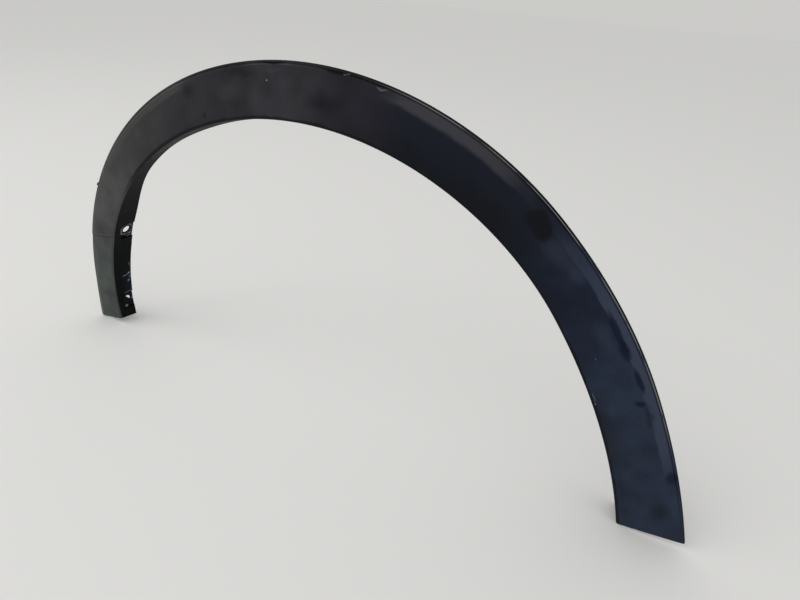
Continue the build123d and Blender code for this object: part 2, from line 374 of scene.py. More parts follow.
BEAD_HIGHLIGHT = (0.0012, 0.0018, 0.0003)
BEAD_HIGHLIGHT_START = (0.64, 0.72)
BEAD_HIGHLIGHT_END = (1.10, 1.04)
BEAD_HIGHLIGHT_BREAKS = (0.36, 0.52)
LEG_BEAD_HIGHLIGHT = (0.0014, 0.0034, 0.0006)
LEG_BEAD_HIGHLIGHT_RUN = (0.34, 0.26)
LEG_BEAD_HIGHLIGHT_SHARE = 0.3

# Tones and dust of the inside and the back: pairs of noise values where a share starts and is full
INSIDE_TONE = (0.40, 0.70)
INSIDE_DUSTY = (0.58, 0.78)
INSIDE_DUST_SHARE = 0.25
INSIDE_PATCHY = (0.30, 0.60)
BACK_TONE = (0.35, 0.65)
BACK_DUSTY = (0.55, 0.75)
BACK_DUSTY_PLACES = (0.40, 0.70)
BACK_DUST_SHARE = 0.35

# Surfaces: least roughness and what patches add to it, grain sizes in metres with a strength, and gloss
FACE_ROUGHNESS = 0.52
FACE_ROUGHNESS_ADDED = 0.16
SMUDGE_SMOOTHNESS = 0.10
FACE_GRAIN = (0.0016, 0.0008)
FACE_GRAIN_STRENGTH = 0.35
FACE_GLOSS = 0.15
PLAIN_ROUGHNESS = 0.45
INSIDE_ROUGHNESS_ADDED = 0.20
BACK_ROUGHNESS_ADDED = 0.15
PLAIN_GRAIN = (0.0060, 0.0012)
PLAIN_GRAIN_STRENGTH = 0.12
INSIDE_GLOSS = 0.05
BACK_GLOSS = 0.3
GRAIN_HEIGHT = 0.0002
GRAIN_DETAIL = 2.0
COARSE_SEED = 1.0
FINE_SEED = 2.0
FINE_SHARE = 0.5

# Studio: a pale floor, a lamp, an even room light and the backdrop that rays from the camera see
FLOOR_REACH = 15.0
FLOOR_PAINT = (0.80, 0.795, 0.775, 1)
FLOOR_ROUGHNESS = 0.6
LAMP_PLACE = Vector((-1.6, -1.2, 2.6))
LAMP_AIM = Vector((0, 0, 0.2))
LAMP_SIZE = 2.2
LAMP_POWER = 22
ROOM_LIGHT = (0.74, 0.74, 0.74, 1)
BACKDROP = (0.60, 0.595, 0.58, 1)
SEEN_RAYS = ("Is Camera Ray", "Is Glossy Ray", "Is Transmission Ray")

# Camera: where it stands from the wheel centre, the way it looks and the way to its right
CAMERA_PLACE = Vector((0.30799, -0.44388, 0.50521))
CAMERA_AIM = Vector((-0.320047, 0.781307, -0.535844))
CAMERA_RIGHT = Vector((0.905230, 0.419057, 0.070350))
CAMERA_LENS = 22.49
CAMERA_SENSOR = 36.0


def heading(turn):
    return Vector((cos(turn), 0, sin(turn)))


def reach(start, direction, centre, radius):
    """Distance from a point inside a circle to the circle, along a direction."""
    offset = start - centre
    along = offset.dot(direction)
    return sqrt(along ** 2 - offset.dot(offset) + radius ** 2) - along


def inner_edge(run):
    """Point of the inner edge at a run from the left foot, and the turn of its outward normal."""
    if run <= MAIN_RUN:
        turn = pi - run / INNER_RADIUS
        return heading(turn) * INNER_RADIUS, turn
    turn = INNER_BREAK - (run - MAIN_RUN) / INNER_LEG_RADIUS
    leg_centre = heading(INNER_BREAK) * (INNER_RADIUS - INNER_LEG_RADIUS)
    return leg_centre + heading(turn) * INNER_LEG_RADIUS, turn


def outer_circles():
    """Centre, radius and last turn of each arc of the outer edge."""
    circles = []
    point = OUTER_START
    turn = OUTER_TURN
    for radius, sweep in OUTER_ARCS:
        centre = point - heading(turn) * radius
        turn = turn - sweep
        point = centre + heading(turn) * radius
        circles.append((centre, radius, turn))
    return circles


def face_width(run):
    """Width of the face, from the inner edge to the outer edge along the normal."""
    start, turn = inner_edge(run)
    normal = heading(turn)
    for centre, radius, last_turn in outer_circles():
        width = reach(start, normal, centre, radius)
        spoke = start + normal * width - centre
        if atan2(spoke.z, spoke.x) >= last_turn:
            return width
    return width


def setback(run):
    """Depth of the outer edge behind the inner edge: least at the feet, most at the crown."""
    share = max(sin(pi * run / FULL_RUN), 0)
    return FOOT_SETBACK + (CROWN_SETBACK - FOOT_SETBACK) * share


def eased(share):
    """A share from 0 to 1 that starts and ends gently."""
    return share * share * (3 - 2 * share)


def border_share(run):
    """Share of the border's full form: none at the feet, all of it further up."""
    return eased(max(min(run / BORDER_RUN, (FULL_RUN - run) / BORDER_RUN, 1), 0))


def band_drop(run):
    return BAND_DROP_FOOT + (BAND_DROP - BAND_DROP_FOOT) * border_share(run)


def groove_depth(run):
    return GROOVE_DEPTH_FOOT + (GROOVE_DEPTH - GROOVE_DEPTH_FOOT) * border_share(run)


def flange_depth(run):
    """Depth of the return flange: it rises up each leg, then eases to the shallow crown."""
    from_foot = min(run, FULL_RUN - run)
    up_leg = min(from_foot / FLANGE_RISE_RUN, 1)
    leg_depth = FLANGE_FOOT + (FLANGE_LEG - FLANGE_FOOT) * up_leg
    share = min(max(from_foot - FLANGE_LEG_RUN, 0) / FLANGE_TAPER_RUN, 1)
    return leg_depth + (FLANGE_CROWN - leg_depth) * eased(share)


def flange_lean(run):
    """How much nearer to the wheel the flange's rear edge lies than its front: most at the crown."""
    from_foot = min(run, FULL_RUN - run)
    share = min(max(from_foot - FLANGE_UPRIGHT_RUN, 0) / FLANGE_LEAN_RUN, 1)
    return FLANGE_LEAN * eased(share)


def section_matrix(run):
    """Frame across the trim: x outwards across the face, y into the car, z along the arch."""
    point, turn = inner_edge(run)
    normal = heading(turn)
    axes = Matrix((normal, INTO_CAR, normal.cross(INTO_CAR))).transposed().to_4x4()
    return Matrix.Translation(point) @ axes


def flange_matrix(run):
    """Frame on the flange's visible side: x along the arch, y into the car, z towards the wheel."""
    point, turn = inner_edge(run)
    inwards = -heading(turn)
    axes = Matrix((INTO_CAR.cross(inwards), INTO_CAR, inwards)).transposed().to_4x4()
    return Matrix.Translation(point) @ axes


def line_points(start, end, spans):
    """Points of a straight line, without its last one."""
    return [Vector(start).lerp(Vector(end), i / spans) for i in range(spans)]


def arc_points(centre, radii, first, last, spans):
    """Points of an arc of an ellipse, by angles in degrees, without its last one."""
    angles = [radians(first + (last - first) * i / spans) for i in range(spans)]
    return [Vector((centre[0] + radii[0] * cos(a), centre[1] + radii[1] * sin(a))) for a in angles]


def face_points(start, end, spans):
    """Points of the crowned face: level at its start and steepest at its end, without its last one."""
    shares = [i / spans for i in range(spans)]
    out = end[0] - start[0]
    fall = end[1] - start[1]
    return [Vector((start[0] + out * share, start[1] + fall * share * share)) for share in shares]


def section_points(run):
    """Closed outline of the section as (out, deep), from the flange's rear edge round to the back."""
    width = face_width(run)
    rim_depth = setback(run)
    flange = flange_depth(run)
    lean = flange_lean(run)
    band_start = width - BAND_WIDTH
    band_depth = rim_depth - band_drop(run)
    band_back = band_depth + WALL
    bead_start = width - BEAD_WIDTH
    bead_middle = width - BEAD_WIDTH / 2
    groove_start = bead_start - GROOVE_WIDTH
    groove_middle = bead_start - GROOVE_WIDTH / 2
    groove_top = rim_depth - band_drop(run) * (width - groove_start) / BAND_WIDTH
    groove_floor = rim_depth + groove_depth(run)
    groove_radii = (GROOVE_WIDTH / 2, min(GROOVE_WIDTH / 2, groove_depth(run) / 2))
    bead_side = groove_floor - groove_radii[1]
    bead_radii = (BEAD_WIDTH / 2, bead_side - rim_depth + BEAD_HEIGHT)
    rim_back = groove_floor + BEAD_WALL
    inner_corner = WALL + CORNER

    outline = line_points((-lean, flange), (0, CORNER), FLANGE_SPANS)
    outline += arc_points((CORNER, CORNER), (CORNER, CORNER), 180, 270, CORNER_SPANS)
    outline += face_points((CORNER, 0), (band_start, band_depth), FACE_SPANS)
    outline += line_points((band_start, band_depth), (groove_start, groove_top), BAND_SPANS)
    outline += line_points((groove_start, groove_top), (groove_start, bead_side), SIDE_SPANS)
    outline += arc_points((groove_middle, bead_side), groove_radii, 180, 0, GROOVE_SPANS)
    outline += arc_points((bead_middle, bead_side), bead_radii, 180, 360, BEAD_SPANS)
    outline += line_points((width, bead_side), (width, rim_back), SIDE_SPANS)
    outline += line_points((width, rim_back), (band_start, band_back), BAND_SPANS)
    outline += [Vector((band_start, band_back))]
    outline += reversed(face_points((inner_corner, WALL), (band_start, band_back), BACK_SPANS)[1:])
    outline += arc_points((inner_corner, inner_corner), (CORNER, CORNER), 270, 180, BACK_CORNER_SPANS)
    outline += line_points((WALL, inner_corner), (WALL - lean, flange), FLANGE_BACK_SPANS)
    outline += [Vector((WALL - lean, flange))]
    return outline


def swept_shell():
    """The bent section, run past both feet, with its maps and material slots."""
    bm = bmesh.new()
    along = bm.loops.layers.uv.new(ALONG_MAP)
    across = bm.loops.layers.uv.new(ACROSS_MAP)
    stations = round((FULL_RUN + 2 * OVERRUN) / STATION_STEP)
    runs = [(FULL_RUN + 2 * OVERRUN) * i / stations - OVERRUN for i in range(stations + 1)]
    places = {}
    spots = {}
    ring = []
    edges = []
    for run in runs:
        points = section_points(run)
        if ring:
            made = bmesh.ops.extrude_edge_only(bm, edges=edges)["geom"]
            ring = [item for item in made if isinstance(item, bmesh.types.BMVert)]
            edges = [item for item in made if isinstance(item, bmesh.types.BMEdge)]
        else:
            ring = [bm.verts.new() for _ in points]
            edges = [bm.edges.new(pair) for pair in zip(ring, ring[1:] + ring[:1])]
        matrix = section_matrix(run)
        width = face_width(run)
        for vert, (out, deep) in zip(ring, points):
            vert.co = matrix @ Vector((out, deep, 0))
            places[vert] = Vector((run, width - out, out, deep)) * MILLIMETRE
        spots.update(zip(ring, range(len(ring))))
    for face in bm.faces:
        face.material_index = PLAIN
        for slot, side in ((GRAINED, FACE_SPOTS), (BACK, BACK_SPOTS)):
            if all(spots[vert] in side for vert in face.verts):
                face.material_index = slot
        for loop in face.loops:
            loop[along].uv = places[loop.vert][:2]
            loop[across].uv = places[loop.vert][2:]
    bmesh.ops.recalc_face_normals(bm, faces=bm.faces)
    return bm


def left_side(bm):
    """The left half of the shell: its vertices, edges and faces."""
    verts = [v for v in bm.verts if v.co.x < 0]
    inside = set(verts)
    edges = [e for e in bm.edges if inside.issuperset(e.verts)]
    faces = [f for f in bm.faces if inside.issuperset(f.verts)]
    return verts + edges + faces


def right_side(bm):
    left = set(left_side(bm))
    return [item for item in [*bm.verts, *bm.edges, *bm.faces] if item not in left]


def down_across(on_line, to_right, fall=0.0):
    """Downward normal of a cut along a line across the trim that falls towards the flange's rear."""
    line = (to_right - on_line).normalized()
    slope = Vector((0, FLANGE_FOOT, -fall)).normalized()
    return slope.cross(line)


def add_leg_step(bm):
    """Two cuts a little apart across the left leg; the face below them lies deeper."""
    down = down_across(STEP_OUTER, STEP_INNER)
    foot_of_ramp = STEP_OUTER + down * STEP_RAMP
    for place in (STEP_OUTER, foot_of_ramp):
        bmesh.ops.bisect_plane(bm, geom=left_side(bm), dist=CUT_NEAR, plane_co=place, plane_no=down)
    below = [v for v in bm.verts if v.co.x < 0 and (v.co - foot_of_ramp).dot(down) > -STEP_NEAR]
    bmesh.ops.translate(bm, verts=[v for v in below if v.co.y < STEP_REACH], vec=INTO_CAR * STEP_DEPTH)


def lies_on(edge, place, normal):
    """Whether an edge lies on a cut."""
    return all(abs((vert.co - place).dot(normal)) < RIM_NEAR for vert in edge.verts)


def cut_feet(bm):
    """The end cuts, closed with flat faces."""
    feet = (
        (left_side, LEFT_OUTER, down_across(LEFT_OUTER, LEFT_INNER, LEFT_CUT_FALL)),
        (right_side, RIGHT_INNER, down_across(RIGHT_INNER, RIGHT_OUTER)),
    )
    for side, place, down in feet:
        bmesh.ops.bisect_plane(
            bm, geom=side(bm), dist=CUT_NEAR, plane_co=place, plane_no=down, clear_outer=True
        )
        rim = [edge for edge in bm.edges if edge.is_boundary and lies_on(edge, place, down)]
        for face in bmesh.ops.holes_fill(bm, edges=rim, sides=0)["faces"]:
            face.material_index = PLAIN


def new_piece(name, bm, materials=()):
    """A mesh object from a finished bmesh."""
    mesh = bpy.data.meshes.new(name)
    bm.to_mesh(mesh)
    bm.free()
    for material in materials:
        mesh.materials.append(material)
    obj = bpy.data.objects.new(name, mesh)
    bpy.context.collection.objects.link(obj)
    return obj


def apply_modifiers(obj):
    """The object's mesh with its modifiers in it."""
    evaluated = obj.evaluated_get(bpy.context.evaluated_depsgraph_get())
    mesh = bpy.data.meshes.new_from_object(evaluated)
    obj.modifiers.clear()
    obj.data = mesh


def combine(obj, bm, operation, slot=PLAIN):
    """Joins or cuts a bmesh of blocks into an object. Their faces take one material slot."""
    for face in bm.faces:
        face.material_index = slot
    bmesh.ops.recalc_face_normals(bm, faces=bm.faces)
    tool = new_piece("tool", bm, obj.data.materials)
    modifier = obj.modifiers.new("combine", "BOOLEAN")
    modifier.operation = operation
    modifier.solver = "EXACT"
    modifier.object = tool
    apply_modifiers(obj)
    bpy.data.objects.remove(tool)


def add_plate(bm, corners, rounded, radius, height, matrix):
    """A flat plate with some of its corners rounded, raised along z and placed by a matrix."""
    verts = [bm.verts.new((x, y, 0)) for x, y in corners]
    face = bm.faces.new(verts)
    soft = [verts[i] for i in rounded]
    known = set(bm.faces) - {face}
    if soft:
        bmesh.ops.bevel(
            bm, geom=soft, offset=radius, offset_type="OFFSET", affect="VERTICES",
            segments=ROUND_SPANS, profile=0.5, material=-1,
        )
    plate = [f for f in bm.faces if f not in known]
    made = bmesh.ops.extrude_face_region(bm, geom=plate)["geom"]
    top = [item for item in made if isinstance(item, bmesh.types.BMVert)]
    bmesh.ops.translate(bm, verts=top, vec=(0, 0, height))
    base = {v for f in plate for v in f.verts}
    bmesh.ops.transform(bm, matrix=matrix, verts=top + list(base))


def add_pad(bm, front, rear, grow, height, matrix):
    """Plate in the outline of a screw pad, up to the flange's rear edge, with round front corners."""
    half = PAD_LENGTH / 2 + grow
    corners = [(-half, front - grow), (half, front - grow), (half, rear), (-half, rear)]
    add_plate(bm, corners, (0, 1), PAD_CORNER + grow, height, matrix)


def add_pin(bm, radius, length, matrix):
    bmesh.ops.create_cone(
        bm, cap_ends=True, segments=HOLE_SIDES,
        radius1=radius, radius2=radius, depth=length, matrix=matrix,
    )


def add_block(bm, low, high, matrix):
    size = Vector(high) - Vector(low)
    middle = Matrix.Translation((Vector(high) + Vector(low)) / 2)
    bmesh.ops.create_cube(bm, size=1, matrix=matrix @ middle @ Matrix.Diagonal((*size, 1)))


def add_foot_shade_webs(trim):
    """A plate across each foot, from the flange to the middle of the band, that stands in for the shade
    seen through the lower screw hole.
    """
    webs = bmesh.new()
    for run in (SHADE_WEB_RUN, FULL_RUN - SHADE_WEB_RUN):
        width = face_width(run)
        rear = flange_depth(run) - SHADE_WEB_REAR_GAP
        in_wall = setback(run) - band_drop(run) + SHADE_WEB_INTO_WALL
        corners = [
            (WALL / 2, SHADE_WEB_FRONT),
            (WALL / 2, rear),
            (SHADE_WEB_REAR_WIDTH, rear),
            (width - BAND_WIDTH / 2, in_wall),
            (width - BAND_WIDTH, in_wall),
        ]
        place = section_matrix(run) @ Matrix.Translation((0, 0, -SHADE_WEB_THICKNESS / 2))
        add_plate(webs, corners, (), 0, SHADE_WEB_THICKNESS, place)
    combine(trim, webs, "UNION")


def screw_places():
    """Run and depth of each screw hole on both legs, with the side that its foot is on."""
    left = [(run, depth, -1) for run, depth in SCREWS]
    right = [(FULL_RUN - run, depth, 1) for run, depth in SCREWS]
    return left + right


def add_screw_pads(trim):
    backings = bmesh.new()
    sinks = bmesh.new()
    holes = bmesh.new()
    for run, depth, foot_side in screw_places():
        front = depth - PAD_AHEAD
        rear = flange_depth(run)
        pad = flange_matrix(run + foot_side * PAD_SHIFT)
        outside = pad @ Matrix.Translation((0, 0, -PAD_SINK - PAD_WALL))
        floor_of_pad = pad @ Matrix.Translation((0, 0, -PAD_SINK))
        add_pad(backings, front, rear, PAD_WALL, PAD_WALL + PAD_SINK / 2, outside)
        add_pad(sinks, front, rear + PAD_SINK, 0, 2 * PAD_SINK, floor_of_pad)
        hole = flange_matrix(run) @ Matrix.Translation((0, depth, 0))
        add_pin(holes, SCREW_DIAMETER / 2, 4 * (PAD_SINK + PAD_WALL), hole)
    combine(trim, backings, "UNION", BACK)
    combine(trim, sinks, "DIFFERENCE")
    combine(trim, holes, "DIFFERENCE")


def clip_house():
    """Small house for a push-in clip, standing on z = 0 and open at +x, with a slot in its roof."""
    walls = bmesh.new()
    room = bmesh.new()
    slot = bmesh.new()
    here = Matrix.Identity(4)
    end = CLIP_LENGTH / 2
    side = CLIP_WIDTH / 2
    slot_centre = end - CLIP_SLOT_DEPTH + CLIP_SLOT / 2
    half_slot = CLIP_SLOT / 2
    add_block(walls, (-end, -side, 0), (end, side, CLIP_HEIGHT), here)
    add_block(
        room,
        (-end + CLIP_WALL, -side + CLIP_WALL, -CLIP_WALL),
        (end + CLIP_WALL, side - CLIP_WALL, CLIP_HEIGHT - CLIP_WALL),
        here,
    )
    slot_corners = [(slot_centre - half_slot, -half_slot), (end + CLIP_WALL, -half_slot)]
    slot_corners += [(end + CLIP_WALL, half_slot), (slot_centre - half_slot, half_slot)]
    above_room = Matrix.Translation((0, 0, CLIP_HEIGHT - 2 * CLIP_WALL))
    add_plate(slot, slot_corners, (0, 3), half_slot * SLOT_END_SHARE, 4 * CLIP_WALL, above_room)
    house = new_piece("clip_house", walls)
    combine(house, room, "DIFFERENCE")
    combine(house, slot, "DIFFERENCE")
    mesh = house.data
    bpy.data.objects.remove(house)
    return mesh


def add_clip_houses(trim):
    house = clip_house()
    row = bmesh.new()
    spacing = (FULL_RUN - 2 * CLIP_END_RUN) / (CLIP_COUNT - 1)
    for i in range(CLIP_COUNT):
        run = CLIP_END_RUN + i * spacing
        section = section_matrix(run)
        face_end = face_width(run) - BAND_WIDTH
        fall = setback(run) - band_drop(run)
        # Half way across, the crowned face has fallen by a quarter
        base = section @ Vector(((CORNER + face_end) / 2, fall / 4 + WALL / 2, 0))
        along = section.to_3x3() @ Vector((0, 0, 1))
        across = (section.to_3x3() @ Vector((face_end - CORNER, fall, 0))).normalized()
        up = along.cross(across)
        seat = Matrix((along, up.cross(along), up)).transposed().to_4x4()
        known = set(row.verts)
        row.from_mesh(house)
        bmesh.ops.transform(
            row, matrix=Matrix.Translation(base) @ seat, verts=[v for v in row.verts if v not in known]
        )
    combine(trim, row, "UNION", BACK)


def add_stub(trim):
    stub = bmesh.new()
    length, height, thickness = STUB_SIZE
    depth = setback(STUB_RUN) + groove_depth(STUB_RUN) + BEAD_WALL / 2
    place = section_matrix(STUB_RUN) @ Matrix.Translation((face_width(STUB_RUN), depth, 0))
    half = Vector((height, thickness / 2, length / 2))
    add_block(stub, -half, half, place)
    combine(trim, stub, "UNION")


def add_foot_corner(bm, corner, along_cut, along_edge):
    """Sliver outside a rounded corner of a foot, through the depth of the trim."""
    cut_way = (along_cut - corner).normalized()
    edge_way = (along_edge - corner).normalized()
    half = cut_way.angle(edge_way) / 2
    bisector = (cut_way + edge_way).normalized()
    centre = corner + bisector * FOOT_ROUND / sin(half)
    on_cut = corner + cut_way * FOOT_ROUND / tan(half)
    on_edge = corner + edge_way * FOOT_ROUND / tan(half)
    start = on_cut - centre
    end = on_edge - centre
    spokes = [start.slerp(end, i / ROUND_SPANS).normalized() for i in range(ROUND_SPANS + 1)]
    outline = [centre + spoke * FOOT_ROUND for spoke in spokes] + [corner - bisector * FOOT_ROUND]
    face = bm.faces.new([bm.verts.new(p - INTO_CAR * FLANGE_LEG) for p in outline])
    made = bmesh.ops.extrude_face_region(bm, geom=[face])["geom"]
    far = [item for item in made if isinstance(item, bmesh.types.BMVert)]
    bmesh.ops.translate(bm, verts=far, vec=INTO_CAR * 3 * FLANGE_LEG)


def rim_point(run):
    point, turn = inner_edge(run)
    return point + heading(turn) * face_width(run)


def round_foot_corners(trim):
    slivers = bmesh.new()
    above_right = FULL_RUN - OVERRUN
    add_foot_corner(slivers, LEFT_OUTER, LEFT_INNER, rim_point(OVERRUN))
    add_foot_corner(slivers, RIGHT_OUTER, RIGHT_INNER, rim_point(above_right))
    add_foot_corner(slivers, RIGHT_INNER, RIGHT_OUTER, inner_edge(FULL_RUN - CORNER_SIGHT)[0])
    combine(trim, slivers, "DIFFERENCE")


def soften_edges(trim):
    modifier = trim.modifiers.new("soft_edges", "BEVEL")
    modifier.width = EDGE_ROUND
    modifier.segments = EDGE_SEGMENTS
    modifier.limit_method = "ANGLE"
    modifier.angle_limit = SHARP_ANGLE
    modifier.harden_normals = True
    apply_modifiers(trim)


def into_part_frame(trim):
    bm = bmesh.new()
    bm.from_mesh(trim.data)
    to_part = Matrix.Translation(WHEEL_CENTRE) @ Matrix.Scale(MILLIMETRE, 4)
    bmesh.ops.transform(bm, matrix=to_part, verts=bm.verts)
    bm.to_mesh(trim.data)
    bm.free()


def arch_trim(materials):
    """The whole moulding. Its materials are those of the grained face, the plain inside and the back."""
    shell = swept_shell()
    add_leg_step(shell)
    cut_feet(shell)
    for face in shell.faces:
        face.smooth = True
    trim = new_piece("arch_trim_moulding", shell, materials)
    add_foot_shade_webs(trim)
    round_foot_corners(trim)
    add_screw_pads(trim)
    add_clip_houses(trim)
    add_stub(trim)
    soften_edges(trim)
    into_part_frame(trim)
    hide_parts("arch_trim")
    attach(trim, "root")
    return trim


class Wire:
    """A socket of a shader tree. Sums, differences and products of wires add Math nodes."""

    def __init__(self, tree, socket=None):
        self.tree = tree
        self.socket = socket

    def node(self, kind, settings, inputs, output=0):
        """A new node: its settings first, then the values or links of its sockets."""
        node = self.tree.nodes.new(kind)
        for name, value in settings.items():
            setattr(node, name, value)
        for name, value in inputs.items():
            if isinstance(value, Wire):
                self.tree.links.new(value.socket, node.inputs[name])
            else:
                node.inputs[name].default_value = value
        return Wire(self.tree, node.outputs[output] if node.outputs else None)

    def math(self, operation, first, second):
        return self.node("ShaderNodeMath", {"operation": operation}, {0: first, 1: second})

    def __add__(self, other):
        return self.math("ADD", self, other)

    def __radd__(self, other):
        return self.math("ADD", other, self)

    def __sub__(self, other):
        return self.math("SUBTRACT", self, other)

    def __rsub__(self, other):
        return self.math("SUBTRACT", other, self)

    def __mul__(self, other):
        return self.math("MULTIPLY", self, other)

    def __rmul__(self, other):
        return self.math("MULTIPLY", other, self)


def empty_tree(owner):
    """The emptied shader tree of a material or world."""
    owner.use_nodes = True
    owner.node_tree.nodes.clear()
    return Wire(owner.node_tree)


def rise(value, low, high):
    """Share that grows smoothly from 0 at low to 1 at high, or falls where low is the larger."""
    ends = {"Value": value, "From Min": low, "From Max": high}
    return value.node("ShaderNodeMapRange", {"interpolation_type": "SMOOTHSTEP"}, ends)


def stripe(value, start, end, soft):
    """Share that is 1 between two values and fades over a soft width outside them."""
    return rise(value, start - soft, start) * rise(value, end + soft, end)


def painted(share, under, over):
    """A colour laid over another by a share."""
    inputs = {0: share, MIX_UNDER: under, MIX_OVER: over}
    return share.node("ShaderNodeMix", {"data_type": "RGBA"}, inputs, MIX_RESULT)


def noise_values(place, size, seed, detail, roughness, output):
    """4-D noise with patches of about this size in metres."""
    inputs = {"Vector": place, "W": seed, "Scale": 1 / size, "Detail": detail, "Roughness": roughness}
    return place.node("ShaderNodeTexNoise", {"noise_dimensions": "4D"}, inputs, output)


def mottle(place, size, seed, detail=NOISE_DETAIL):
    """Noise from 0 to 1 about its middle value."""
    return noise_values(place, size, seed, detail, MOTTLE_ROUGHNESS, 0)


def swing(noise, amount):
    """Noise about zero, times an amount."""
    return (noise - NOISE_MIDDLE) * amount


def shaken(place, size, amount, seed):
    """The place, pushed about by noise, so that marks get uneven edges."""
    noise = noise_values(place, size, seed, NOISE_DETAIL, SHAKE_ROUGHNESS, "Color")
    middle = (NOISE_MIDDLE, NOISE_MIDDLE, NOISE_MIDDLE)
    centred = noise.node("ShaderNodeVectorMath", {"operation": "SUBTRACT"}, {0: noise, 1: middle})
    push = {0: centred, 1: (amount, amount, amount), 2: place}
    return centred.node("ShaderNodeVectorMath", {"operation": "MULTIPLY_ADD"}, push)


def map_values(tree, name):
    """The two values of one of the trim's maps."""
    uv = tree.node("ShaderNodeUVMap", {"uv_map": name}, {})
    return [uv.node("ShaderNodeSeparateXYZ", {}, {0: uv}, axis) for axis in ("X", "Y")]


def shaded(colour, factor):
    """A colour times a number that may vary."""
    settings = {"data_type": "RGBA", "blend_type": "MULTIPLY"}
    inputs = {0: 1.0, MIX_UNDER: colour, MIX_OVER: factor}
    return factor.node("ShaderNodeMix", settings, inputs, MIX_RESULT)


def oval_distance(place, run, out, deep, radii):
    """Distance from a point of the trim, in radii along it, into the car and across it."""
    centre = section_matrix(run) @ Vector((out, deep, 0))
    _, turn = inner_edge(run)
    inputs = {
        "Vector": place,
        "Location": WHEEL_CENTRE + centre * MILLIMETRE,
        "Rotation": (0, pi / 2 - turn, 0),
        "Scale": Vector(radii) * MILLIMETRE,
    }
    oval = place.node("ShaderNodeMapping", {"vector_type": "TEXTURE"}, inputs)
    return oval.node("ShaderNodeVectorMath", {"operation": "LENGTH"}, {0: oval}, "Value")


def face_distance(place, run, out, length, width):
    return oval_distance(place, run, out, FACE_MARK_DEPTH, (length, FACE_MARK_REACH, width))


def flange_distance(place, run, deep, length, depth):
    return oval_distance(place, run, 0, deep, (length, depth, FLANGE_MARK_REACH))


def face_marks(place, marks, full):
    """Sum of the oval marks on the face, which fade from a share of their size to their edge."""
    shares = [rise(face_distance(place, *values), 1, full) for values in marks]
    return sum(shares[1:], shares[0])


def flange_marks(place, marks, full):
    """Sum of the oval marks on the flange, which fade from a share of their size to their edge."""
    shares = [rise(flange_distance(place, *values), 1, full) for values in marks]
    return sum(shares[1:], shares[0])


def below_step(place):
    """Distance below the step line on the left leg, in metres."""
    down = down_across(STEP_OUTER, STEP_INNER)
    start = WHEEL_CENTRE + STEP_OUTER * MILLIMETRE
    inputs = {0: place, 1: down}
    along = place.node("ShaderNodeVectorMath", {"operation": "DOT_PRODUCT"}, inputs, "Value")
    return along - start.dot(down)


def grain(place, coarse, fine):
    """Height of the moulded grain: small bumps with finer ones between them."""
    bumps = mottle(place, coarse, COARSE_SEED, GRAIN_DETAIL)
    return bumps + FINE_SHARE * mottle(place, fine, FINE_SEED, GRAIN_DETAIL)


def finish_surface(material, tree, colour, roughness, height, strength, gloss):
    bump = {"Strength": strength, "Distance": GRAIN_HEIGHT, "Height": height}
    normal = tree.node("ShaderNodeBump", {}, bump)
    inputs = {
        "Base Color": colour,
        "Roughness": roughness,
        "Normal": normal,
        "Specular IOR Level": gloss,
    }
    surface = tree.node("ShaderNodeBsdfPrincipled", {}, inputs)
    tree.node("ShaderNodeOutputMaterial", {}, {"Surface": surface})
    return material


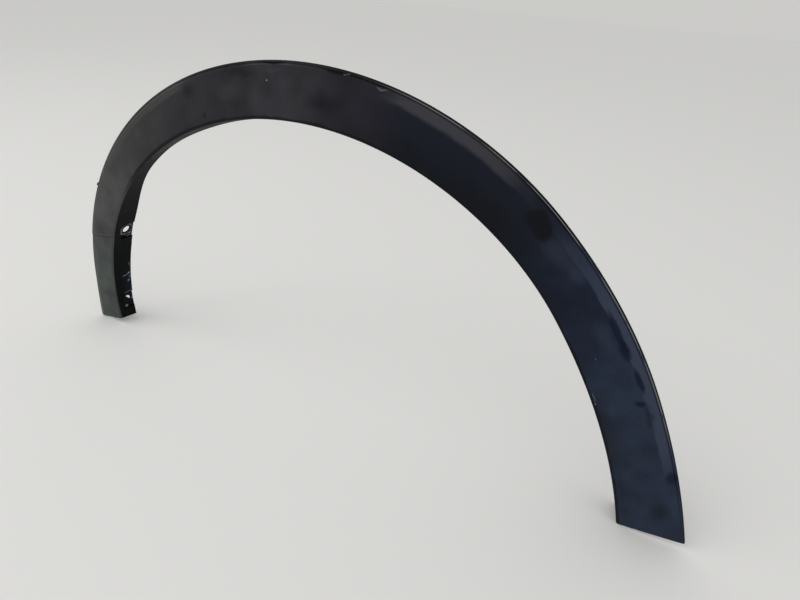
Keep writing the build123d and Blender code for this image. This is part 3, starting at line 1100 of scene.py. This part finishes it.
def grained_face():
    """The face's grained plastic with dust and wear, and painted light: painted sheen greys the left
    leg, painted dark reflection darkens the bluer right, and painted shade and highlights line the step,
    the inner edge, the groove and the bead.
    """
    material = bpy.data.materials.new("grained_face")
    tree = empty_tree(material)
    place = tree.node("ShaderNodeTexCoord", {}, {}, "Object")
    uneven = shaken(place, *FACE_SHAKE)
    wavering = shaken(place, *FACE_WAVER)
    run, from_rim = map_values(tree, ALONG_MAP)
    out, _ = map_values(tree, ACROSS_MAP)
    broad = mottle(place, *FACE_BROAD)
    middling = mottle(place, *FACE_MIDDLING)
    small = mottle(place, *FACE_SMALL)
    stretched = run.node("ShaderNodeCombineXYZ", {}, {0: run * STREAK_STRETCH, 1: from_rim})
    streaky = mottle(stretched, *FACE_STREAKY)

    # Tones, with painted sheen on the left leg and painted dark reflection on the right, the leg below
    # the step greener, and clouds over all of it
    ragged_run = run + swing(broad, RUN_RAGGED_BROAD) + swing(small, RUN_RAGGED_SMALL)
    step = below_step(place)
    leg = rise(run, *STEP_LEG)
    green_at_step = GREEN_AT_STEP_SHARE * rise(step, *GREEN_AT_STEP)
    green_below = GREEN_BELOW_STEP_SHARE * rise(step, *GREEN_BELOW_STEP)
    colour = painted((green_at_step + green_below) * leg, LEFT_GREY_WITH_SHEEN, LOWER_LEFT_GREY_WITH_SHEEN)
    for begins, full, tone in FACE_TONES_WITH_PAINTED_LIGHT:
        colour = painted(rise(ragged_run, begins, full), colour, tone)
    clouds = 1 + swing(broad, CLOUDS_BROAD)
    clouds = clouds + swing(middling, CLOUDS_MIDDLING) + swing(small, CLOUDS_SMALL)
    inner_shade = INNER_SHADE * rise(out, *INNER_SHADE_OUT) * rise(run, *INNER_SHADE_RUN)
    colour = shaded(colour, clouds * (1 - inner_shade))

    # Dust on the sloping band: grey past the crown, blue down the right leg, olive on the left shoulder
    shoulder = rise(out, *SHOULDER_OUT) * stripe(run, *SHOULDER_RUN)
    colour = painted(shoulder * SHOULDER_SHARE, colour, SHOULDER_NAVY)
    ragged = from_rim + swing(small, RIM_RAGGED_SMALL) + swing(streaky, RIM_RAGGED_STREAKY)
    for across, begins, ends, dust in RIM_BANDS:
        band = rise(ragged, *across) * rise(ragged_run, *begins) * rise(ragged_run, *ends)
        colour = painted(band, colour, dust)
    olive = stripe(run, *OLIVE_RUN) * rise(ragged, *OLIVE_FROM_RIM)
    colour = painted(olive * OLIVE_SHARE, colour, OLIVE_DUST)

    # Hazy patches, greasy smudges, scuffs and specks
    colour = painted(face_marks(uneven, HAZY_PATCHES, HAZE_FULL) * HAZE_SHARE, colour, BAND_BLUE)
    colour = painted(face_marks(uneven, CROWN_PATCHES, PATCH_FULL) * PATCH_SHARE, colour, BAND_GREY)
    colour = painted(face_marks(uneven, DARK_CLOUDS, CLOUD_FULL) * CLOUD_SHARE, colour, GREASE_AND_SHADE)
    black = face_marks(uneven, GREASY_MARKS, GREASE_FULL)
    black = black + face_marks(wavering, GREASY_STREAKS, GREASE_FULL)
    colour = painted(black * SMUDGE_SHARE, colour, GREASE_AND_SHADE)
    navy = face_marks(uneven, NAVY_MARKS, NAVY_FULL)
    navy = navy + face_marks(wavering, NAVY_STREAKS, NAVY_FULL)
    colour = painted(navy * SMUDGE_SHARE, colour, NAVY_GREASE)
    colour = painted(face_marks(uneven, SCUFFS, SCUFF_FULL) * SCUFF_SHARE, colour, WORN_GREY_AND_HIGHLIGHT)
    colour = painted(face_marks(place, SPECKS, SPECK_FULL) * SPECK_SHARE, colour, CHALK)

    # The step's painted highlight and shadow line, painted shade along the inner edge, and the groove
    # lightened by dust and by painted light against its shade
    colour = painted(stripe(step, *STEP_HIGHLIGHT) * leg * STEP_HIGHLIGHT_SHARE, colour, WORN_GREY_AND_HIGHLIGHT)
    colour = painted(stripe(step, *STEP_SHADE) * leg * STEP_SHADE_SHARE, colour, GREASE_AND_SHADE)
    # Painted shade: a dark ragged line along the inner edge, from the left shoulder on
    ragged_out = out + swing(small, INNER_EDGE_SHADE_RAGGED) * rise(run, *INNER_EDGE_SHADE_RAGGED_RUN)
    inner_edge_shade = rise(ragged_out, *INNER_EDGE_SHADE_OUT) * rise(run, *INNER_EDGE_SHADE_RUN)
    colour = painted(inner_edge_shade * INNER_EDGE_SHADE_SHARE, colour, GREASE_AND_SHADE)
    # The groove up to the crown is lightened: dust in it, and painted light that offsets the shade in it
    groove = stripe(from_rim, *GROOVE_LIGHTENING) * rise(run, *GROOVE_LIGHTENING_RUN)
    colour = shaded(colour, 1 + groove * GROOVE_LIGHTENING_GAIN)

    # The bead: painted shade on its outer side, a thin broken painted highlight along its top, and a
    # fainter painted highlight on the left leg
    dark = BEAD_DARK_SHARE * rise(run, *BEAD_DARK_RUN)
    darker = BEAD_DARKER_SHARE * rise(run, *BEAD_DARKER_RUN)
    colour = painted(rise(from_rim, *BEAD_OUTSIDE) * (dark + darker), colour, GREASE_AND_SHADE)
    bead_highlight = stripe(from_rim, *BEAD_HIGHLIGHT) * rise(run, *BEAD_HIGHLIGHT_START) * rise(run, *BEAD_HIGHLIGHT_END)
    colour = painted(bead_highlight * rise(streaky, *BEAD_HIGHLIGHT_BREAKS), colour, WORN_GREY_AND_HIGHLIGHT)
    leg_bead_highlight = stripe(from_rim, *LEG_BEAD_HIGHLIGHT) * rise(run, *LEG_BEAD_HIGHLIGHT_RUN)
    colour = painted(leg_bead_highlight * LEG_BEAD_HIGHLIGHT_SHARE, colour, WORN_GREY_AND_HIGHLIGHT)

    roughness = FACE_ROUGHNESS + FACE_ROUGHNESS_ADDED * broad - SMUDGE_SMOOTHNESS * (black + navy)
    height = grain(place, *FACE_GRAIN)
    return finish_surface(material, tree, colour, roughness, height, FACE_GRAIN_STRENGTH, FACE_GLOSS)


def plain_inside():
    """The smooth plastic of the flange, the webs and the ends: nearly black, with chalky scuffs."""
    material = bpy.data.materials.new("plain_inside")
    tree = empty_tree(material)
    place = tree.node("ShaderNodeTexCoord", {}, {}, "Object")
    uneven = shaken(place, *INSIDE_SHAKE)
    wavering = shaken(place, *INSIDE_WAVER)
    broad = mottle(place, *INSIDE_BROAD)
    small = mottle(place, *INSIDE_SMALL)
    patchy = rise(small, *INSIDE_PATCHY)

    colour = painted(rise(broad, *INSIDE_TONE), INSIDE_BLACK, INSIDE_GREY)
    colour = painted(rise(small, *INSIDE_DUSTY) * INSIDE_DUST_SHARE, colour, INSIDE_DUST)
    colour = painted(flange_marks(uneven, BLUE_SHEENS, SHEEN_FULL), colour, INSIDE_BLUE)
    crown_dust = flange_marks(uneven, CROWN_DUST, CROWN_DUST_FULL) * patchy
    colour = painted(crown_dust * CROWN_DUST_SHARE, colour, OLIVE_DUST)
    colour = painted(flange_marks(uneven, PAD_SCUFFS, PAD_SCUFF_FULL) * patchy, colour, WORN_GREY_AND_HIGHLIGHT)
    lines = flange_marks(wavering, PAD_LINES, PAD_LINE_FULL)
    colour = painted(lines * PAD_LINE_SHARE, colour, WORN_GREY_AND_HIGHLIGHT)
    streaks = flange_marks(wavering, CHALK_STREAKS, CHALK_FULL) * patchy
    colour = painted(streaks * CHALK_STREAK_SHARE, colour, CHALK)
    scuffs = flange_marks(wavering, CHALK_SCUFFS, CHALK_FULL)
    colour = painted(scuffs * CHALK_SCUFF_SHARE, colour, CHALK)
    washer = flange_distance(uneven, *SCREWS[1], WASHER_PRINT, WASHER_PRINT)
    colour = painted(stripe(washer, *WASHER_RING) * patchy, colour, WORN_GREY_AND_HIGHLIGHT)

    roughness = PLAIN_ROUGHNESS + INSIDE_ROUGHNESS_ADDED * broad
    height = grain(place, *PLAIN_GRAIN)
    return finish_surface(material, tree, colour, roughness, height, PLAIN_GRAIN_STRENGTH, INSIDE_GLOSS)


def plain_back():
    """The smooth charcoal plastic of the back, with faint dust on it."""
    material = bpy.data.materials.new("plain_back")
    tree = empty_tree(material)
    place = tree.node("ShaderNodeTexCoord", {}, {}, "Object")
    broad = mottle(place, *BACK_BROAD)
    small = mottle(place, *BACK_SMALL)
    colour = painted(rise(broad, *BACK_TONE), BACK_BLACK, BACK_GREY)
    dusty = rise(small, *BACK_DUSTY) * rise(broad, *BACK_DUSTY_PLACES)
    colour = painted(dusty * BACK_DUST_SHARE, colour, BACK_DUST)
    roughness = PLAIN_ROUGHNESS + BACK_ROUGHNESS_ADDED * broad
    height = grain(place, *PLAIN_GRAIN)
    return finish_surface(material, tree, colour, roughness, height, PLAIN_GRAIN_STRENGTH, BACK_GLOSS)


def camera():
    data = bpy.data.cameras.new("camera")
    data.sensor_width = CAMERA_SENSOR
    data.lens = CAMERA_LENS
    obj = bpy.data.objects.new("camera", data)
    right = CAMERA_RIGHT.normalized()
    back = -CAMERA_AIM.normalized()
    up = back.cross(right)
    turn = Matrix((right, up, back)).transposed().to_4x4()
    obj.matrix_world = Matrix.Translation(WHEEL_CENTRE + CAMERA_PLACE) @ turn
    bpy.context.collection.objects.link(obj)
    bpy.context.scene.camera = obj


def floor():
    bm = bmesh.new()
    bmesh.ops.create_grid(bm, x_segments=1, y_segments=1, size=FLOOR_REACH)
    material = bpy.data.materials.new("pale_floor")
    tree = empty_tree(material)
    paint = {"Base Color": FLOOR_PAINT, "Roughness": FLOOR_ROUGHNESS}
    surface = tree.node("ShaderNodeBsdfPrincipled", {}, paint)
    tree.node("ShaderNodeOutputMaterial", {}, {"Surface": surface})
    obj = new_piece("floor", bm, [material])


def lamp():
    data = bpy.data.lights.new("key", "AREA")
    data.shape = "DISK"
    data.size = LAMP_SIZE
    data.energy = LAMP_POWER
    obj = bpy.data.objects.new("key", data)
    obj.location = LAMP_PLACE
    obj.rotation_euler = (LAMP_AIM - LAMP_PLACE).to_track_quat("-Z", "Y").to_euler()
    bpy.context.collection.objects.link(obj)


def surroundings():
    """The world's even light, and the backdrop behind the part."""
    world = bpy.data.worlds.new("studio")
    tree = empty_tree(world)
    seen = [tree.node("ShaderNodeLightPath", {}, {}, ray) for ray in SEEN_RAYS]
    colour = painted(sum(seen[1:], seen[0]), ROOM_LIGHT, BACKDROP)
    background = tree.node("ShaderNodeBackground", {}, {"Color": colour})
    tree.node("ShaderNodeOutputWorld", {}, {"Surface": background})
    bpy.context.scene.world = world


camera()
floor()
lamp()
surroundings()
arch_trim([grained_face(), plain_inside(), plain_back()])

bpy.context.scene.view_settings.view_transform = "Standard"
